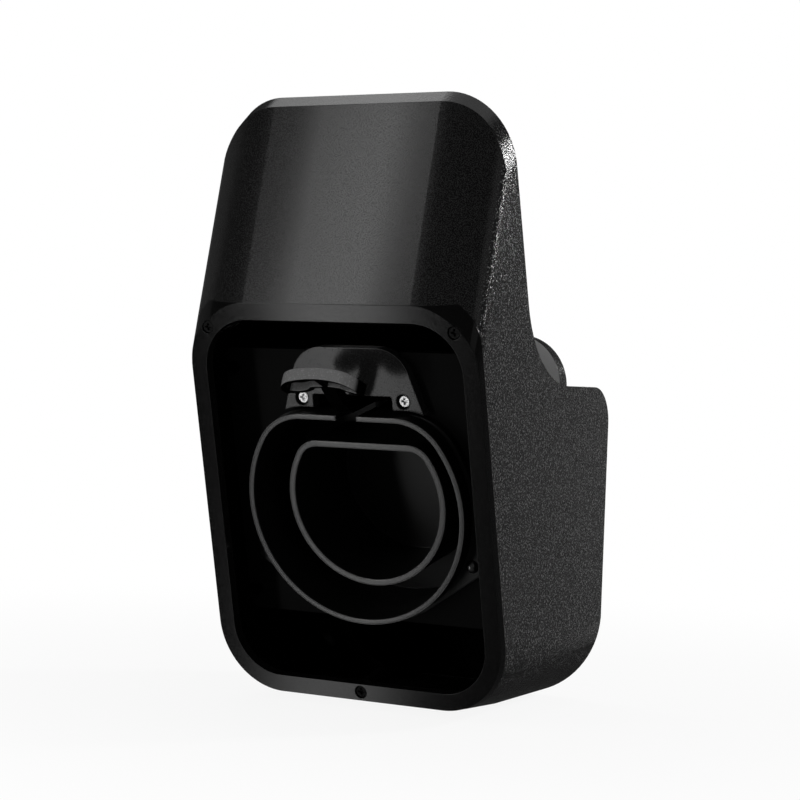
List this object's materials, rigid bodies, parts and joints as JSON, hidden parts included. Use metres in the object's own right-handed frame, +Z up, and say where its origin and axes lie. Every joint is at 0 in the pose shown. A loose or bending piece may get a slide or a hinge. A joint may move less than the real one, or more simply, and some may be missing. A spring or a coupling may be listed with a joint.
{
  "type": "charging connector holder",
  "caption": "Wall holder for an electric car's charging connector: hooded housing, leaning frame, D-shaped blind socket, sprung latch lever and a cable rest behind the hood.",
  "frame": {"origin": "middle of the wall-hole pattern on the wall's plane", "axes": "+Y into the wall, -Y the front, +X right as seen from the front, +Z up"},
  "size_m": [0.117, 0.124, 0.2218],
  "materials": {
    "textured_plastic": "spark eroded grain",
    "frame_plastic": "fine matte",
    "inner_plastic": "satin",
    "black_steel": "black oxide",
    "zinc_steel": "bright zinc",
    "spring_steel": "drawn wire"
  },
  "bodies": {
    "base": {"housing": "textured_plastic", "front_frame": "frame_plastic", "frame_screw_top_left": "black_steel", "frame_screw_top_right": "black_steel", "frame_screw_bottom": "black_steel", "carrier_plate": "inner_plastic", "carrier_screw_lower_left": "black_steel", "carrier_screw_lower_right": "black_steel", "carrier_screw_upper_left": "black_steel", "carrier_screw_upper_right": "black_steel", "socket_insert": "inner_plastic", "socket_cup": "inner_plastic", "insert_screw_left": "black_steel", "insert_screw_right": "black_steel", "latch_bracket": "inner_plastic", "bracket_screw_left": "zinc_steel", "bracket_screw_right": "zinc_steel", "latch_pin": "spring_steel", "latch_spring": "spring_steel", "wall_plate": "textured_plastic", "base_screw_left": "black_steel", "base_screw_right": "black_steel"},
    "lever": {"latch_lever": "inner_plastic"}
  },
  "joints": [
    {"name": "latch_press", "type": "hinge", "parent": "base", "child": "lever", "pos_m": [0, -0.08463, 0.05678], "axis": [1, 0, 0], "range_deg": [0, 14], "stiffness_Nm_per_rad": 0.3, "springref_deg": -20.05}
  ]
}
